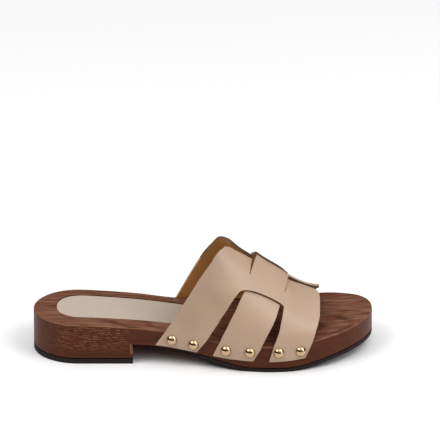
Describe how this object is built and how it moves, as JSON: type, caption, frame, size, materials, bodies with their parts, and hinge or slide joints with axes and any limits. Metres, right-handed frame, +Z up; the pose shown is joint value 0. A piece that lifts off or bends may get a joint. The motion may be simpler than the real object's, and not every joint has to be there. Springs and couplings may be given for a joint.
{
  "type": "slide sandal",
  "caption": "Right-foot slide sandal: low-heeled wooden sole with arched waist, leather sock, rubber heel lift and outsole, and an upper of interlaced leather straps nailed to its sides",
  "frame": {"origin": "on the floor under the middle of the sandal's bounding box, where the heel lift and the forefoot rest", "axes": "+X from the heel to the toe, +Y from the outer side to the inner side of the foot, +Z up"},
  "size_m": [0.255, 0.1036, 0.0865],
  "materials": {
    "wood": "stained and oiled, fine straight grain along the sole",
    "rubber": "matt black",
    "sock": "smooth pale beige",
    "leather": "smooth, slight sheen, tan-brown lining",
    "stud": "polished pale gold"
  },
  "bodies": {
    "root": {"sole_wood": "wood", "heel_lift": "rubber", "outsole": "rubber", "insole_sock": "sock", "upper": "leather", "stud_lateral_1": "stud", "stud_lateral_2": "stud", "stud_lateral_3": "stud", "stud_lateral_4": "stud", "stud_lateral_5": "stud", "stud_lateral_6": "stud", "stud_medial_1": "stud", "stud_medial_2": "stud", "stud_medial_3": "stud", "stud_medial_4": "stud", "stud_medial_5": "stud", "stud_medial_6": "stud"}
  },
  "joints": []
}
